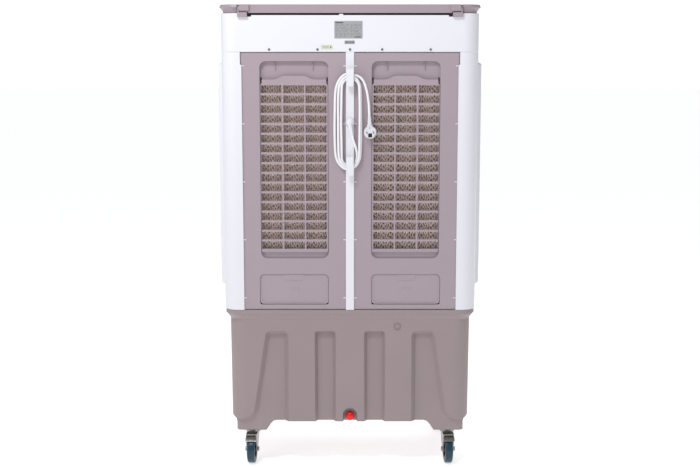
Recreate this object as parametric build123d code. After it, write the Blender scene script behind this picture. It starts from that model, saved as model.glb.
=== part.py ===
"""Mobile evaporative cooler: a white and taupe cabinet on a water tank with four casters.

Millimetres. +Z is up and the origin is on the floor, under the middle of the cabinet. The rear, with the
two lift-out grilles, the fill flaps and the wound mains lead, faces -Y. Air leaves through the front, +Y.
"""
from build123d import *
import math
import os

# ---------------------------------------------------------------- driving dimensions
HEIGHT = 1420
WIDTH = 768                      # cabinet, across its corner posts
DEPTH = 480                      # cabinet, rear posts to front panel
CORNER = 46                      # plan radius of the cabinet's corners
SKIN = 3                         # moulded wall thickness
FIT = 0.5                        # gap round a panel that lifts
SEAM = 0.6                       # gap between the housing and the walls under it

CASTER_HEIGHT = 115
WHEEL_RADIUS = 44
TANK_BASE = 147
TANK_TOP = 504
HOUSING_BASE = 1282
HOUSING_DECK = 1389
HOUSING_TOP = 1395

REAR = -DEPTH / 2
FRONT = DEPTH / 2
SIDE = WIDTH / 2

# rear face
POST_INNER = 321.5               # inner edge of a corner post
CENTRE_POST = 12.7               # half width of the centre post
PANEL_FACE = REAR + 4            # the rear panels sit behind the posts' faces
RECESS_DEPTH = 14
RECESS = (64.5, 268.5, 663, 1255)    # low x, high x, low z, high z of the grille's recess
RECESS_CORNER = 19
GRILLE_OPENING = (70.3, 265.6)
GRILLE_ROWS = 17
ROW_PITCH = 29.33
SLAT_HEIGHT = 6.5
FIRST_ROW_TOP = 1183.5
GRILLE_BASE = 682
FLAP = (65.4, 272.9, 521.5, 613)
FLAP_SINK = 2
FLAP_GAP = 0.8
FLAP_AXIS = (PANEL_FACE + FLAP_SINK + SKIN, 525.5)     # y and z of a fill flap's hinge line
POST_NOTCH = (1244.5, 4)         # height from which a corner post steps back, and by how much

# mains lead
CORD = 7.2
HOOK_HALF_WIDTH = 10.7
HOOK_REACH = 24
UPPER_HOOK = (1181, 1197, 1233)  # heights of the stem's two sides and of the tongue's tip
LOWER_HOOK = (973, 962, 917)
CORD_PLANE = REAR - 9.5
GLAND_HEIGHT = 1075
PLUG_CENTRE = (59.5, 1046)
PLUG_ROLL = 2.5                  # degrees that the plug leans to the left at its boot
PLUG_RADIUS = 18.5
PLUG_CORD_Y = -250
PLUG_FACE = -263
PIN_SPACING = 19
PIN_RADIUS = 2.4
PIN_LENGTH = 19

GLAND_EXIT = (6.5, 1036)         # x and z where the lead leaves its relief
GLAND_LEAN = math.degrees(math.atan2(3.1, 14.4))
LEAD_ROUTE = [                   # from the gland, down behind the lower hook's tongue
    (6.5, CORD_PLANE, 1036), (9.6, CORD_PLANE, 1021.6), (14.8, CORD_PLANE + 1, 1007.5),
    (19.3, CORD_PLANE + 2.5, 993), (21.5, CORD_PLANE + 3.5, 978), (20, CORD_PLANE + 3.5, 963.5),
]
TAIL_ROUTE = [                   # from the top of the turns to the plug's boot
    (6, -250, 1219), (25.5, -250.5, 1213), (40.5, -251, 1197.5), (48, -251, 1176),
    (52.8, -250.5, 1153), (55.6, -250, 1131), (56.7, -250, 1111), (57.5, -250, 1092),
]

# small trim
CLIP_HEIGHTS = (541, 720, 896, 1070, 1241)
SCREWS_X = (-239, -96, 0, 95, 238)
SCREWS_Z = 1289

# water tank
TANK_SIDE = (368, 370)           # half width of the raised faces, at the base and at the neck
TANK_FACE = (224, 226)           # half depth of the raised faces, at the base and at the neck
TANK_CORNER = 50
TANK_NECK = 471
RIM_BASE = 490
POCKET_TOP = 435
POCKET_DEPTH = 15
POCKET_DRAFTS = (27, 38)         # degrees, straight pockets and slanted ones
BLOCK_BASE = 162                 # underside of the raised corner blocks
BELOW = 110                      # pockets run out through the tank's base to here
TANK_WALL = 4
DRAIN_Z = 162
DRAIN_RADIUS = 9.5

# casters
SWIVEL = (307, 152)
TRAIL = 27
REST_YAW = 3                     # degrees that the casters stand turned at rest
PLATE_BASE = 112
CROWN_TOP = 105.2
CROWN_BASE = 96.3
LEG_INNER = 14.5
LEG_OUTER = 17
AXLE_RADIUS = 4
HOOD = (46.5, 50)                # radii of the hood over a rear tyre
PEDAL_PIVOT = (-41, 92.3)        # y and z, in the caster's own frame

# lid, its hinge and the basin under it
LID_HALF = 300
LID_FRONT = 150
LID_REAR = REAR - 3
HINGE_Y = REAR - 0.5
HINGE_Z = 1407.5
HINGE_BLOCK = (302.5, 331)
EAR = (326, 330.5)
BASIN = ((-290, 290), (-218, 140))
SEAL_TOP = 1394.4
SEAL_DIP = 1384.5                # how low the seal's end blocks reach
SEAL_ENDS = ((-302.5, -291), (291, 302.5))

# controls
KNOB_Z = 1338
KNOB_STEP = 105

# water circuit
RISER = (-312, 60)               # x and y of the pump and its hose
DISTRIBUTOR = (1262, 1279)

# front outlet
OUTLET_WIDTH = 560
OUTLET_HEIGHT = 480
OUTLET_Z = 1000
OUTLET_RAIL = 8
OUTLET_REACH = 23.8              # how far the bezel stands off the front panel
VANE_Y = 218
VANE_STEP = 100
FAN_RADIUS = 258
SHAFT_RADIUS = 6

RUNNING = 0.05                   # radial clearance of a pin or shaft that turns


# ---------------------------------------------------------------- shape helpers
def block(x, y, z):
    """Box between (low, high) pairs on each axis."""
    size = [high - low for low, high in (x, y, z)]
    return Pos(sum(x) / 2, sum(y) / 2, sum(z) / 2) * Box(*size)


def prism(width, depth, radius, z):
    """Upright prism of rounded plan, centred on the Z axis, between two heights."""
    return extrude(Pos(0, 0, z[0]) * RectangleRounded(width, depth, radius), z[1] - z[0])


def flare(low, high):
    """Straight-sided loft between two rounded plans, each (width, depth, radius, z)."""
    plans = [Pos(0, 0, plan[3]) * RectangleRounded(*plan[:3]) for plan in (low, high)]
    return loft(plans, ruled=True)


def upright(outline, y, taper=0):
    """Extrude an outline drawn in X and Z through a (low, high) span of Y, tapering towards high Y."""
    if taper:
        face = Plane((0, y[0], 0), x_dir=(1, 0, 0), z_dir=(0, 1, 0)) * mirror(outline, about=Plane.XZ)
        return extrude(face, y[1] - y[0], taper=taper)
    return extrude(Plane.XZ.offset(-y[1]) * outline, y[1] - y[0])


def sideways(outline, x):
    """Extrude an outline drawn in Y and Z through a (low, high) span of X."""
    return extrude(Plane.YZ.offset(x[0]) * outline, x[1] - x[0])


def rectangle(x, z, radius=0):
    """Rectangle between two (low, high) pairs, with rounded corners when a radius is given."""
    width, height = x[1] - x[0], z[1] - z[0]
    shape = RectangleRounded(width, height, radius) if radius else Rectangle(width, height)
    return Pos(sum(x) / 2, sum(z) / 2) * shape


def disc(x, z, radius):
    return Pos(x, z) * Circle(radius)


def rod(radius, z):
    """Cylinder on the Z axis between two heights."""
    return Pos(0, 0, sum(z) / 2) * Cylinder(radius, z[1] - z[0])


def rod_y(x, z, radius, y):
    return upright(disc(x, z, radius), y)


def rod_x(y, z, radius, x):
    return sideways(disc(y, z, radius), x)


def other_side(shape):
    """The same piece for the cabinet's other side."""
    return mirror(shape, about=Plane.YZ)


def group(shapes):
    return Compound(children=list(shapes))


# ---------------------------------------------------------------- water tank
def pocket_outline(points, grow, corner, under_block=None):
    """Outline of a pocket, grown all round, with round top corners and one round corner under a block."""
    outline = make_face(Polyline(*points, close=True))
    if grow:
        outline = offset(outline, grow, kind=Kind.INTERSECTION)
    outline = fillet(outline.vertices().sort_by(Axis.Y)[-2:], corner + grow)
    if under_block:
        outline = fillet(outline.vertices().sort_by_distance(under_block)[0], 30 - grow)
    return outline


def face_pocket_outlines(grow):
    """Pockets of one half of a long face: a straight one, and one that runs out under the corner block."""
    straight = [(43, BELOW), (43, POCKET_TOP), (109, POCKET_TOP), (109, BELOW)]
    slanted = [
        (188, BELOW), (188, POCKET_TOP), (259, POCKET_TOP), (302, BLOCK_BASE),
        (430, BLOCK_BASE), (430, BELOW),
    ]
    return [pocket_outline(straight, grow, 10), pocket_outline(slanted, grow, 15, (302, BLOCK_BASE))]


def side_pocket_outline(grow):
    points = [
        (40, BELOW), (40, POCKET_TOP), (112, POCKET_TOP), (152, BLOCK_BASE), (300, BLOCK_BASE), (300, BELOW),
    ]
    return pocket_outline(points, grow, 10, (152, BLOCK_BASE))


def drain_arch_outline(grow):
    half = 22 + grow
    return rectangle((-half, half), (BELOW, 168)) + disc(0, 168, half)


def tank_pockets(inset):
    """Every pocket in the tank's faces, moved inwards by inset for cutting the cavity's side of the wall."""
    proud = 3
    depth = (-TANK_FACE[0] - proud + inset, -TANK_FACE[0] + POCKET_DEPTH + inset)
    pockets = []
    for outline, draft in zip(face_pocket_outlines(inset), POCKET_DRAFTS):
        cut = upright(outline, depth, draft)
        for turned in (cut, other_side(cut)):
            pockets += [turned, mirror(turned, about=Plane.XZ)]
    side_plane = Plane((TANK_SIDE[0] + proud - inset, 0, 0), x_dir=(0, -1, 0), z_dir=(-1, 0, 0))
    side_cut = extrude(side_plane * side_pocket_outline(inset), POCKET_DEPTH + proud, taper=POCKET_DRAFTS[0])
    for turned in (side_cut, other_side(side_cut)):
        pockets += [turned, mirror(turned, about=Plane.XZ)]
    pockets.append(upright(drain_arch_outline(inset), depth, 8))
    return pockets


def tank_foot(wall, floor):
    """One hollow or solid foot under the tank's +X, -Y corner, shrunk all round by wall."""
    low, high = CASTER_HEIGHT + floor, TANK_BASE + TANK_WALL + 2
    outer_x, outer_y = 353 - wall, 209 - wall
    plans = []
    for z, reach in ((low, 0), (137, 15), (144, 22), (TANK_BASE + 0.5, 34), (high, 36)):
        x = (261 + wall - reach, outer_x + 10)
        y = (-outer_y - 10, -119 - wall + reach)
        plans.append(Pos(sum(x) / 2, sum(y) / 2, z) * Rectangle(x[1] - x[0], y[1] - y[0]))
    foot = loft(plans[:2], ruled=True)
    for below, above in zip(plans[1:], plans[2:]):
        foot += loft([below, above], ruled=True)
    return foot & prism(2 * outer_x, 2 * outer_y, 16 - wall, (low, high))


def four_corners(shape):
    right = [shape, mirror(shape, about=Plane.XZ)]
    return right + [other_side(piece) for piece in right]


def make_tank():
    body = flare((2 * TANK_SIDE[0], 2 * TANK_FACE[0], TANK_CORNER, TANK_BASE),
                 (2 * TANK_SIDE[1], 2 * TANK_FACE[1], TANK_CORNER, TANK_NECK))
    body = body - tank_pockets(0)
    body += flare((740, 452, 50, TANK_NECK), (762, 474, 46, RIM_BASE))
    body += prism(764, 476, 46, (RIM_BASE, TANK_TOP))
    cavity = flare((2 * TANK_SIDE[0] - 8, 2 * TANK_FACE[0] - 8, 46, TANK_BASE + TANK_WALL),
                   (2 * TANK_SIDE[1] - 8, 2 * TANK_FACE[1] - 8, 46, TANK_NECK + 2))
    cavity = cavity - tank_pockets(TANK_WALL)
    cavity += flare((732, 444, 46, TANK_NECK + 2), (754, 466, 42, RIM_BASE + 2))
    cavity += prism(756, 468, 42, (RIM_BASE + 2, TANK_TOP + 1))
    body += four_corners(tank_foot(0, 0))
    body -= cavity
    body -= four_corners(tank_foot(TANK_WALL, 5))
    body -= rod_y(0, DRAIN_Z, DRAIN_RADIUS, (-230, -190))
    knock_out = rod_y(144.6, 448.5, 10.5, (-228, -224)) - rod_y(144.6, 448.5, 8.7, (-229, -223.4))
    return body + knock_out


def make_tank_deck():
    """Plate between the cabinet and the tank, with holes for fill water, pad run-off and the riser hose."""
    top = TANK_TOP - 4
    deck = prism(755, 467, 41, (top - 3.5, top))
    holes = []
    for side in (-1, 1):
        holes.append(block(sorted((side * 80, side * 258)), (-214, -154), (top - 5, top + 2)))
        holes += [Pos(side * 350, y, top) * Cylinder(8, 20) for y in (-120, 0, 120)]
    holes.append(Pos(*RISER, top) * Cylinder(11, 20))
    return deck - holes


def make_level_window():
    """Clear strip on the tank's front that shows the water level."""
    return upright(rectangle((-9, 9), (250, 420), 8.5), (TANK_FACE[1], TANK_FACE[1] + 3))


def make_drain_plug():
    cap = rod_y(0, DRAIN_Z, 13.5, (-226, -209.4))
    cap = fillet(cap.edges().group_by(Axis.Y)[0], 10)
    stem = rod_y(0, DRAIN_Z, DRAIN_RADIUS - RUNNING, (-210, -199))
    return cap + stem


# ---------------------------------------------------------------- casters
def make_caster_plate():
    """Top plate, ball race cup and kingpin, on the swivel axis."""
    plate = extrude(Pos(0, 0, PLATE_BASE) * RectangleRounded(70, 62, 6), CASTER_HEIGHT - PLATE_BASE)
    cup = rod(22, (CROWN_TOP + 0.4, PLATE_BASE))
    kingpin = rod(SHAFT_RADIUS, (93, PLATE_BASE)) + rod(9.5, (93.2, 96))
    return plate + cup + kingpin


def make_fork(hood_end):
    """Crown, two legs and, where the fork carries no pedal, a hood that follows the tyre."""
    crown = rod(23, (CROWN_BASE, CROWN_TOP))
    crown = chamfer(crown.edges().group_by(Axis.Z)[-1], 3)
    hood = block((-LEG_OUTER, LEG_OUTER), (hood_end, 14), (CROWN_BASE - 3, CROWN_BASE))
    hood -= rod(11, (90, CROWN_BASE))
    eye = disc(-TRAIL, WHEEL_RADIUS, 11)
    shoulder = rectangle((-47, 22), (87, CROWN_BASE))
    leg_outline = make_hull(eye.edges() + shoulder.edges())
    legs = []
    for side in (-1, 1):
        leg = sideways(leg_outline, sorted((side * LEG_INNER, side * LEG_OUTER)))
        leg -= rod_x(-TRAIL, WHEEL_RADIUS, AXLE_RADIUS, (-20, 20))
        if hood_end > PEDAL_PIVOT[0]:
            leg -= rod_x(*PEDAL_PIVOT, 2.5 + RUNNING, (-20, 20))
        legs.append(leg)
    fork = crown + hood + legs
    if hood_end < PEDAL_PIVOT[0]:
        mudguard = disc(-TRAIL, WHEEL_RADIUS, HOOD[1]) - disc(-TRAIL, WHEEL_RADIUS, HOOD[0])
        mudguard &= rectangle((-70, -8), (78.5, 100))
        fork += sideways(mudguard, (-LEG_OUTER, LEG_OUTER))
    return fork - rod(SHAFT_RADIUS + RUNNING, (90, CROWN_TOP + 1))


def make_axle():
    axle = rod_x(-TRAIL, WHEEL_RADIUS, AXLE_RADIUS, (-LEG_OUTER, LEG_OUTER))
    nut = Plane.YZ.offset(LEG_OUTER) * Pos(-TRAIL, WHEEL_RADIUS) * RegularPolygon(7, 6)
    head = rod_x(-TRAIL, WHEEL_RADIUS, 7, (-LEG_OUTER - 4, -LEG_OUTER))
    return axle + extrude(nut, 5) + head


def make_wheel():
    """Nylon hub with a bonded tread."""
    hub = rod_x(-TRAIL, WHEEL_RADIUS, 31, (-11, 11)) + rod_x(-TRAIL, WHEEL_RADIUS, 10, (-12.5, 12.5))
    for span in ((-12, -5), (5, 12)):
        hub -= rod_x(-TRAIL, WHEEL_RADIUS, 26, span) - rod_x(-TRAIL, WHEEL_RADIUS, 10, (-13, 13))
    hub -= rod_x(-TRAIL, WHEEL_RADIUS, AXLE_RADIUS + RUNNING, (-13, 13))
    tread = rod_x(-TRAIL, WHEEL_RADIUS, WHEEL_RADIUS, (-12, 12))
    tread = fillet(tread.edges(), 5)
    tread -= rod_x(-TRAIL, WHEEL_RADIUS, 31, (-13, 13))
    return hub, tread


def make_pedal():
    """Brake pedal, drawn pressed, on trunnions between the fork's legs, with its shoe over the tread."""
    y, z = PEDAL_PIVOT
    arm_profile = [(-2, 4), (-10, 4), (-46, -6), (-47, -11), (-12, -2), (-2, -3.5)]
    shoe_profile = [(-4.5, -2), (-5, -7.9), (-12, -12.1), (-14, -2)]
    pedal = rod_x(y, z, 4.5, (-13.5, 13.5)) + rod_x(y, z, 2.5, (-LEG_OUTER, LEG_OUTER))
    for profile, half_width in ((arm_profile, 13.5), (shoe_profile, 9)):
        points = [(y + along, z + up) for along, up in profile]
        pedal += sideways(make_face(Polyline(*points, close=True)), (-half_width, half_width))
    return pedal


# ---------------------------------------------------------------- cabinet
def cabinet_ring(z):
    outer = prism(WIDTH, DEPTH, CORNER, z)
    return outer - prism(WIDTH - 2 * SKIN, DEPTH - 2 * SKIN, CORNER - SKIN, z)


def make_rear_post():
    """Corner post with a return along its inner edge, for the +X side, stepped back near its top."""
    span = (TANK_TOP, HOUSING_BASE - SEAM)
    post = cabinet_ring(span) & block((POST_INNER, SIDE + 1), (REAR - 1, -160), span)
    post += block((POST_INNER, POST_INNER + SKIN), (REAR + 1, REAR + 19), span)
    step = (POST_INNER - 1, POST_INNER + POST_NOTCH[1])
    return post - block(step, (REAR - 1, REAR + 20), (POST_NOTCH[0], HOUSING_BASE))


def make_centre_post():
    span = (TANK_TOP, HOUSING_BASE - 0.2)
    post = block((-CENTRE_POST, CENTRE_POST), (REAR, REAR + 18), span)
    post = fillet(post.edges().filter_by(Axis.Z).group_by(Axis.Y)[0], 2)
    return post - block((-CENTRE_POST + SKIN, CENTRE_POST - SKIN), (REAR + SKIN, REAR + 19), span)


def make_rear_panel():
    """Taupe rear panel for the +X side, with the grille's recess, its window and the fill opening."""
    low_x, high_x, low_z, high_z = RECESS
    floor = PANEL_FACE + RECESS_DEPTH
    inner = CENTRE_POST + 0.3
    outline = rectangle((inner, POST_INNER - 0.3), (TANK_TOP + 1.8, HOUSING_BASE - 1.6))
    outline += rectangle((inner, POST_INNER + POST_NOTCH[1] - 1.4), (POST_NOTCH[0] + 1, HOUSING_BASE - 1.6))
    panel = upright(outline, (PANEL_FACE, PANEL_FACE + SKIN))
    tub = rectangle((low_x - SKIN, high_x + SKIN), (low_z - SKIN, high_z + SKIN), RECESS_CORNER + SKIN)
    panel += upright(tub, (PANEL_FACE, floor + SKIN))
    panel -= upright(rectangle((low_x, high_x), (low_z, high_z), RECESS_CORNER), (PANEL_FACE - 1, floor))
    window_low = FIRST_ROW_TOP - GRILLE_ROWS * ROW_PITCH + SLAT_HEIGHT
    window = rectangle(GRILLE_OPENING, (window_low - 2, FIRST_ROW_TOP + 4))
    panel -= upright(window, (floor - 1, floor + SKIN + 1))
    sill = rectangle((low_x, high_x), (low_z, high_z), RECESS_CORNER)
    sill &= rectangle((low_x, high_x), (low_z, GRILLE_BASE - FIT))
    panel += upright(sill, (PANEL_FACE + 9, floor + 1))
    for slot_x in ((low_x + 1, low_x + 6), (high_x - 6, high_x - 1)):
        panel -= upright(rectangle(slot_x, (1190, 1207)), (floor - 1, floor + SKIN + 1))
    for rib_x in (low_x + 46, high_x - 46):
        panel += block((rib_x - 1, rib_x + 1), (floor - 4, floor), (1229, high_z))
    opening = flap_outline((FLAP[0] - FLAP_GAP, FLAP[1] + FLAP_GAP), (FLAP[2] - 1.4, FLAP[3] + FLAP_GAP), 6)
    panel -= upright(opening, (PANEL_FACE - 1, PANEL_FACE + SKIN + 1))
    y, z = FLAP_AXIS
    for boss_x in ((FLAP[0] - 8, FLAP[0] - FLAP_GAP), (FLAP[1] + FLAP_GAP, FLAP[1] + 8)):
        panel += block(boss_x, (PANEL_FACE, y + 5), (z - 5, z + 6))
    panel -= rod_x(y, z, 1.5 + RUNNING, (FLAP[0] - 9, FLAP[1] + 9))
    chute_x, chute_top = (FLAP[0] + 7, FLAP[1] - 7), FLAP[3] - 6
    chute = upright(rectangle(chute_x, (FLAP[2] + 12, chute_top)), (y + 0.3, y + 28))
    bore = rectangle((chute_x[0] + 2.5, chute_x[1] - 2.5), (FLAP[2], chute_top - 2.5))
    chute -= upright(bore, (y, y + 29))
    bridge = block(chute_x, (PANEL_FACE + SKIN, y + 3), (FLAP[3] + 1, FLAP[3] + 8))
    bridge += block(chute_x, (y + 0.3, y + 3), (chute_top - 2.5, FLAP[3] + 2))
    return panel + chute + bridge


def flap_outline(x, z, low_radius):
    """Outline of a fill flap or its opening, with wide top corners and tighter ones at the hinge."""
    outline = rectangle(x, z)
    outline = fillet(outline.vertices().sort_by(Axis.Y)[-2:], 15)
    return fillet(outline.vertices().sort_by(Axis.Y)[:2], low_radius)


def grille_outline():
    """Outline of a lift-out grille: straight sides and a raised finger grip in the top edge."""
    low, high = RECESS[0] + 1.5, RECESS[1] - 1.5
    middle = (low + high) / 2
    base, shoulder, crest = GRILLE_BASE, 1201, 1212
    left_wave = Spline((low + 38, shoulder), (middle - 26, crest), tangents=[(1, 0), (1, 0)])
    right_wave = Spline((middle + 26, crest), (high - 38, shoulder), tangents=[(1, 0), (1, 0)])
    edges = [
        Line((low, base), (low, shoulder - 16)), Line((low, shoulder - 16), (low + 5, shoulder - 11)),
        Line((low + 5, shoulder - 11), (low + 5, shoulder)),
        Line((low + 5, shoulder), (low + 38, shoulder)), left_wave,
        Line((middle - 26, crest), (middle + 26, crest)), right_wave,
        Line((high - 38, shoulder), (high - 5, shoulder)),
        Line((high - 5, shoulder), (high - 5, shoulder - 11)),
        Line((high - 5, shoulder - 11), (high, shoulder - 16)), Line((high, shoulder - 16), (high, base)),
        Line((high, base), (low, base)),
    ]
    return make_face(Wire(edges))


def make_rear_grille():
    """Lift-out grille for the +X side: three columns of openings between slats."""
    low, high = GRILLE_OPENING
    back = PANEL_FACE + RECESS_DEPTH - 0.3
    grille = upright(grille_outline(), (PANEL_FACE + 1.5, back))
    mullion = 5
    column = (high - low - 2 * mullion) / 3
    openings = []
    for row in range(GRILLE_ROWS):
        top = FIRST_ROW_TOP - row * ROW_PITCH
        for index in range(3):
            x = low + index * (column + mullion)
            opening = rectangle((x, x + column), (top - ROW_PITCH + SLAT_HEIGHT, top))
            openings.append(upright(opening, (PANEL_FACE, back + 1)))
    return grille - openings


def make_fill_flap():
    """Fill flap for the +X side: a sunk field with a finger tab at its top, hinged on a rod low behind."""
    y, z = FLAP_AXIS
    face = PANEL_FACE + FLAP_SINK
    flap = upright(flap_outline(FLAP[:2], FLAP[2:], 11), (face, face + SKIN))
    middle = (FLAP[0] + FLAP[1]) / 2
    field = rectangle((FLAP[0] + 4, FLAP[1] - 4), (FLAP[2] + 4.5, FLAP[3] - 3), 12)
    field -= rectangle((middle - 29, middle + 29), (FLAP[3] - 18, FLAP[3] + 20), 7)
    flap -= upright(field, (face - 1, face + 1.3))
    for aside, rise in ((-11, 0), (0, 3), (11, 0)):
        flap += drop_emblem(middle + aside, (FLAP[2] + FLAP[3]) / 2 + rise, face + 1.3)
    flap += rod_x(y, z, 1.5, (FLAP[0] - 6, FLAP[1] + 6))
    return flap


def drop_emblem(x, z, face):
    """A low raised water drop, the sign for the fill flap."""
    drop = Polyline((-3, 1), (0, 7), (3, 1)) + ThreePointArc((3, 1), (0, -3.5), (-3, 1))
    return upright(Pos(x, z) * make_face(Wire(drop.edges())), (face - 0.5, face + 0.3))


def make_side_panel():
    """Side wall for the +X side, with a raised louvred field in front of the side pad."""
    wall = block((SIDE - SKIN, SIDE), (-160, 160), (TANK_TOP, HOUSING_BASE - SEAM))
    middle = (560 + 1256) / 2
    bulge = 16
    raised_plane = Plane((SIDE - 0.5, 0, middle), x_dir=(0, 1, 0), z_dir=(1, 0, 0))
    panel = wall + extrude(raised_plane * RectangleRounded(296, 696, 14), bulge + 0.5, taper=32)
    hollow_plane = Plane((SIDE - SKIN - 1, 0, middle), x_dir=(0, 1, 0), z_dir=(1, 0, 0))
    panel -= extrude(hollow_plane * RectangleRounded(290, 690, 12), bulge + 1, taper=32)
    slots = []
    for row in range(GRILLE_ROWS):
        top = FIRST_ROW_TOP + 18 - row * ROW_PITCH
        for y in ((-118, -42.5), (-37.5, 37.5), (42.5, 118)):
            slots.append(block((SIDE, SIDE + bulge + 1), y, (top - ROW_PITCH + SLAT_HEIGHT, top)))
    return panel - slots


def make_front_panel():
    """Front wall with the outlet's hole and a shallow sunk field under it."""
    span = (TANK_TOP, HOUSING_BASE - SEAM)
    panel = cabinet_ring(span) & block((-SIDE - 1, SIDE + 1), (160, FRONT + 1), span)
    half_width = OUTLET_WIDTH / 2 + OUTLET_RAIL + FIT
    half_height = OUTLET_HEIGHT / 2 + OUTLET_RAIL + FIT
    hole = rectangle((-half_width, half_width), (OUTLET_Z - half_height, OUTLET_Z + half_height))
    panel -= upright(hole, (FRONT - 10, FRONT + 1))
    panel -= upright(rectangle((-300, 300), (545, 690), 26), (FRONT - 1.2, FRONT + 1))
    return panel + upright(rectangle((-302, 302), (543, 692), 27), (FRONT - 4.2, FRONT - 1.2))


def make_outlet_grille():
    """One moulding: the duct that carries the swing vanes, the bezel, and the fixed slats."""
    half_width, half_height = OUTLET_WIDTH / 2, OUTLET_HEIGHT / 2
    z = (OUTLET_Z - half_height, OUTLET_Z + half_height)
    opening = rectangle((-half_width, half_width), z)
    outer_x = (-half_width - OUTLET_RAIL, half_width + OUTLET_RAIL)
    rails = rectangle(outer_x, (z[0] - OUTLET_RAIL, z[1] + OUTLET_RAIL))
    duct = upright(rails, (196, FRONT + 2))
    bezel_plane = Plane((0, FRONT + 0.2, OUTLET_Z), x_dir=(-1, 0, 0), z_dir=(0, 1, 0))
    outer = bezel_plane * RectangleRounded(OUTLET_WIDTH + 84, OUTLET_HEIGHT + 84, 46)
    inner = bezel_plane * RectangleRounded(OUTLET_WIDTH + 76, OUTLET_HEIGHT + 76, 42)
    bezel = extrude(outer, OUTLET_REACH, taper=40) - extrude(inner, OUTLET_REACH - 4, taper=40)
    bezel += upright(rails, (FRONT + 0.2, FRONT + OUTLET_REACH - 2))
    grille = duct + bezel - upright(opening, (190, FRONT + OUTLET_REACH + 2))
    slat_count = 9
    slat = Rot(-12, 0, 0) * Box(OUTLET_WIDTH + 2, 15, 3.2)
    for index in range(slat_count):
        height = z[0] + (index + 0.5) * OUTLET_HEIGHT / slat_count
        grille += Pos(0, FRONT + 12, height) * slat
    for x in (-140, 0, 140):
        grille += block((x - 1.6, x + 1.6), (FRONT + 4.5, FRONT + 9), (z[0] - 1, z[1] + 1))
    for x in vane_positions():
        for end in ((z[0] - 7, z[0] + 1), (z[1] - 1, z[1] + 7)):
            grille -= Pos(x, VANE_Y, 0) * rod(3 + RUNNING, end)
    return grille


def vane_positions():
    return [VANE_STEP * index for index in range(-2, 3)]


def make_vane(x):
    """Upright swing vane with a pivot pin at each end."""
    low, high = OUTLET_Z - OUTLET_HEIGHT / 2 + 1, OUTLET_Z + OUTLET_HEIGHT / 2 - 1
    blade = extrude(Pos(x, VANE_Y, low) * Ellipse(2.2, 18), high - low)
    pins = [Pos(x, VANE_Y, 0) * rod(3, span) for span in ((low - 7, low + 4), (high - 4, high + 7))]
    return blade + pins


def make_fan_shroud():
    ring = rod_y(0, OUTLET_Z, FAN_RADIUS + 10, (116, 196))
    ring -= rod_y(0, OUTLET_Z, FAN_RADIUS + 7, (115, 197))
    plate = upright(rectangle((-290, 290), (OUTLET_Z - 262, OUTLET_Z + 262), 20), (193, 196))
    return ring + plate - rod_y(0, OUTLET_Z, FAN_RADIUS + 7, (190, 197))


def make_fan():
    """Six-bladed rotor, with each blade's pitch falling from root to tip, and the motor's shaft."""
    hub = rod_y(0, OUTLET_Z, 58, (128, 182))
    hub = fillet(hub.edges().group_by(Axis.Y)[-1], 12)
    sections = []
    for radius, chord, pitch in ((50, 92, 44), (150, 132, 31), (FAN_RADIUS, 150, 22)):
        turn = math.radians(pitch)
        plane = Plane((0, 0, radius), x_dir=(math.cos(turn), math.sin(turn), 0))
        sections.append(plane * Rectangle(chord, 2.6))
    blade = loft(sections)
    blade &= rod_y(0, 0, FAN_RADIUS, (-60, 60))
    rotor = hub
    for index in range(6):
        rotor += Pos(0, 154, OUTLET_Z) * Rot(0, 60 * index, 0) * blade
    shaft = rod_y(0, OUTLET_Z, SHAFT_RADIUS, (62, 160))
    return rotor - shaft, shaft


def make_motor():
    can = rod_y(0, OUTLET_Z, 62, (20, 112))
    can = fillet(can.edges(), 8)
    boss = rod_y(0, OUTLET_Z, 20, (105, 120))
    return can + boss - rod_y(0, OUTLET_Z, SHAFT_RADIUS + RUNNING, (60, 125))


def make_motor_bracket():
    """Clamp band round the motor with four arms that screw to the shroud's rear edge."""
    band = rod_y(0, OUTLET_Z, 67, (88, 116)) - rod_y(0, OUTLET_Z, 62.1, (80, 120))
    for index in range(4):
        arm = block((64, FAN_RADIUS + 18), (112, 116), (-11, 11))
        band += Pos(0, 0, OUTLET_Z) * Rot(0, 45 + 90 * index, 0) * arm
    return band


# ---------------------------------------------------------------- top
def make_upper_housing():
    """White top ring, with the deck that the basin hangs in and a low rear edge between the hinges."""
    housing = cabinet_ring((HOUSING_BASE, HOUSING_TOP))
    housing = chamfer(housing.faces().sort_by(Axis.Z)[-1].outer_wire().edges(), 2)
    deck = prism(WIDTH - 4, DEPTH - 4, CORNER - 2, (HOUSING_DECK - SKIN, HOUSING_DECK))
    hole = [(low - 0.5, high + 0.5) for low, high in BASIN]
    housing += deck - block(*hole, (HOUSING_DECK - 9, HOUSING_DECK + 1))
    low_edge = HINGE_BLOCK[0]
    housing -= block((-low_edge, low_edge), (REAR - 1, REAR + SKIN), (HOUSING_DECK, HOUSING_TOP + 1))
    for x in SEAL_ENDS:
        housing -= block(x, (REAR - 1, REAR + 10), (SEAL_DIP, HOUSING_TOP + 1))
    catch = block((-32, -20), (REAR, REAR + 2), (HOUSING_DECK - 1, HOUSING_DECK + 4))
    return housing + catch


def make_lid_seal():
    """Rubber strip under the lid's rear edge, with a deeper block at each end."""
    strip = block((-296, 296), (REAR + 4, REAR + 9), (HOUSING_DECK, SEAL_TOP))
    ends = [block((x[0] + 0.3, x[1] - 0.3), (REAR + 0.6, REAR + 9), (SEAL_DIP, SEAL_TOP)) for x in SEAL_ENDS]
    return strip + ends


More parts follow.
